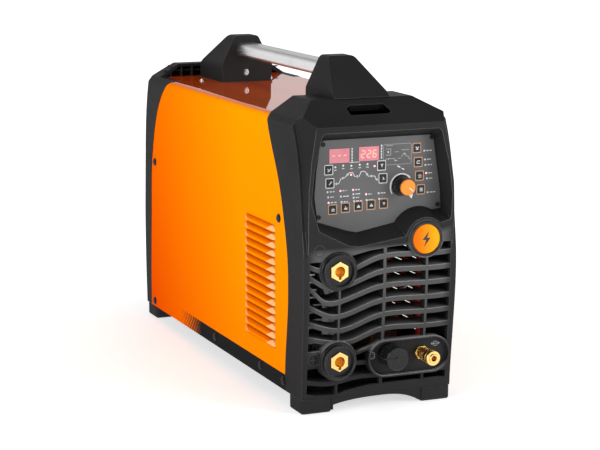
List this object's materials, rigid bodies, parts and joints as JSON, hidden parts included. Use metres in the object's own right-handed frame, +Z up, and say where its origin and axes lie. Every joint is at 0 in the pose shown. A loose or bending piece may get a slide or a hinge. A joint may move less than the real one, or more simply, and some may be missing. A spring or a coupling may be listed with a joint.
{
  "type": "tig welding machine",
  "caption": "Portable inverter TIG welding power source: folded sheet case between moulded front and rear bezels, recessed control panel, carrying bar, weld and gas connectors.",
  "frame": {"origin": "on the floor, at the middle of the overall width and length (gas coupling tip to mains cable end)", "axes": "+Z up, -Y out of the front panel, +X to the right seen from the front"},
  "size_m": [0.2072, 0.6912, 0.424],
  "materials": {
    "black_moulding": "fine-textured moulded plastic, slight sheen",
    "orange_paint": "glossy orange powder coat",
    "black_steel": "black powder coat",
    "zinc_steel": "zinc plated",
    "brushed_aluminium": "brushed along its length",
    "panel_grey": "satin grey front film on a sheet",
    "display_red": "red tinted display window",
    "key_grey": "soft-touch key",
    "black_plastic": "black engineering plastic",
    "orange_plastic": "glossy orange plastic",
    "ring_grey": "satin grey plastic",
    "brass": "turned and polished brass",
    "bright_steel": "turned steel",
    "cable_rubber": "black rubber cable sheath",
    "board_green": "green lacquered circuit board",
    "core_iron": "varnished core and winding",
    "capacitor_sleeve": "blue capacitor sleeve",
    "valve_metal": "plated valve body"
  },
  "bodies": {
    "case": {"badge_disc": "orange_plastic", "badge_ring": "ring_grey", "base_tray": "black_steel", "cable_gland": "black_plastic", "capacitors": "capacitor_sleeve", "centre_plate": "zinc_steel", "control_panel": "panel_grey", "corner_feet": "black_moulding", "cover_screws": "black_steel", "display_lenses": "display_red", "display_modules": "black_plastic", "encoder_body": "black_plastic", "fan_frame": "black_plastic", "front_bezel": "black_moulding", "gas_coupling": "brass", "gas_inlet": "brass", "gas_valve": "valve_metal", "gland_cap": "black_plastic", "handle_bar": "brushed_aluminium", "handle_bracket_front": "black_moulding", "handle_bracket_rear": "black_moulding", "heat_sink": "brushed_aluminium", "hood_screws": "zinc_steel", "ignition_unit": "black_plastic", "mains_cable": "cable_rubber", "mains_switch": "black_plastic", "output_choke": "core_iron", "output_transformer": "core_iron", "panel_board": "board_green", "panel_screws": "black_steel", "power_board": "board_green", "rear_bezel": "black_moulding", "remote_socket": "black_plastic", "socket_flange_lower": "black_plastic", "socket_flange_upper": "black_plastic", "socket_insert_lower": "brass", "socket_insert_upper": "brass", "socket_nuts": "black_plastic", "top_cover": "orange_paint"},
    "knob": {"knob_body": "black_plastic", "knob_cap": "orange_plastic", "encoder_shaft": "bright_steel"},
    "cap_rivet": {"cap_swivel": "black_plastic"},
    "cap": {"remote_cap": "black_plastic"},
    "sleeve": {"gas_sleeve": "brass"},
    "fan": {"fan_rotor": "black_plastic"},
    "switch": {"mains_knob": "orange_plastic"},
    "button_arc_end_key": {"button_arc_end": "key_grey"},
    "button_arc_start_key": {"button_arc_start": "key_grey"},
    "button_current_type_key": {"button_current_type": "key_grey"},
    "button_display_key": {"button_display": "key_grey"},
    "button_gas_test_key": {"button_gas_test": "key_grey"},
    "button_material_key": {"button_material": "key_grey"},
    "button_menu_key": {"button_menu": "key_grey"},
    "button_mode_key": {"button_mode": "key_grey"},
    "button_polarity_key": {"button_polarity": "key_grey"},
    "button_process_key": {"button_process": "key_grey"},
    "button_step_key": {"button_step": "key_grey"},
    "button_store_key": {"button_store": "key_grey"},
    "button_trigger_key": {"button_trigger": "key_grey"}
  },
  "joints": [
    {"name": "button_arc_end_press", "type": "slide", "parent": "case", "child": "button_arc_end_key", "axis": [0, 1, 0], "range_m": [0, 0.001], "stiffness_N_per_m": 400},
    {"name": "button_arc_start_press", "type": "slide", "parent": "case", "child": "button_arc_start_key", "axis": [0, 1, 0], "range_m": [0, 0.001], "stiffness_N_per_m": 400},
    {"name": "button_current_type_press", "type": "slide", "parent": "case", "child": "button_current_type_key", "axis": [0, 1, 0], "range_m": [0, 0.001], "stiffness_N_per_m": 400},
    {"name": "button_display_press", "type": "slide", "parent": "case", "child": "button_display_key", "axis": [0, 1, 0], "range_m": [0, 0.001], "stiffness_N_per_m": 400},
    {"name": "button_gas_test_press", "type": "slide", "parent": "case", "child": "button_gas_test_key", "axis": [0, 1, 0], "range_m": [0, 0.001], "stiffness_N_per_m": 400},
    {"name": "button_material_press", "type": "slide", "parent": "case", "child": "button_material_key", "axis": [0, 1, 0], "range_m": [0, 0.001], "stiffness_N_per_m": 400},
    {"name": "button_menu_press", "type": "slide", "parent": "case", "child": "button_menu_key", "axis": [0, 1, 0], "range_m": [0, 0.001], "stiffness_N_per_m": 400},
    {"name": "button_mode_press", "type": "slide", "parent": "case", "child": "button_mode_key", "axis": [0, 1, 0], "range_m": [0, 0.001], "stiffness_N_per_m": 400},
    {"name": "button_polarity_press", "type": "slide", "parent": "case", "child": "button_polarity_key", "axis": [0, 1, 0], "range_m": [0, 0.001], "stiffness_N_per_m": 400},
    {"name": "button_process_press", "type": "slide", "parent": "case", "child": "button_process_key", "axis": [0, 1, 0], "range_m": [0, 0.001], "stiffness_N_per_m": 400},
    {"name": "button_step_press", "type": "slide", "parent": "case", "child": "button_step_key", "axis": [0, 1, 0], "range_m": [0, 0.001], "stiffness_N_per_m": 400},
    {"name": "button_store_press", "type": "slide", "parent": "case", "child": "button_store_key", "axis": [0, 1, 0], "range_m": [0, 0.001], "stiffness_N_per_m": 400},
    {"name": "button_trigger_press", "type": "slide", "parent": "case", "child": "button_trigger_key", "axis": [0, 1, 0], "range_m": [0, 0.001], "stiffness_N_per_m": 400},
    {"name": "knob_turn", "type": "hinge", "parent": "case", "child": "knob", "pos_m": [0.0365, -0.292, 0.273], "axis": [0, -1, 0], "continuous": true},
    {"name": "cap_advance", "type": "slide", "parent": "case", "child": "cap_rivet", "axis": [0, -1, 0], "range_m": [0, 0.003]},
    {"name": "cap_turn", "type": "hinge", "parent": "cap_rivet", "child": "cap", "pos_m": [0.014, -0.32, 0.066], "axis": [0, -1, 0], "range_deg": [0, 720]},
    {"name": "sleeve_retract", "type": "slide", "parent": "case", "child": "sleeve", "axis": [0, 1, 0], "range_m": [0, 0.0035], "stiffness_N_per_m": 800},
    {"name": "fan_spin", "type": "hinge", "parent": "case", "child": "fan", "pos_m": [0, 0.275, 0.13], "axis": [0, 1, 0], "continuous": true},
    {"name": "switch_turn", "type": "hinge", "parent": "case", "child": "switch", "pos_m": [-0.042, 0.295, 0.262], "axis": [0, 1, 0], "range_deg": [0, 90]}
  ],
  "couplings": [
    {"joint": "cap_advance", "follows": "cap_turn", "m_per_rad": 0.00023873}
  ]
}
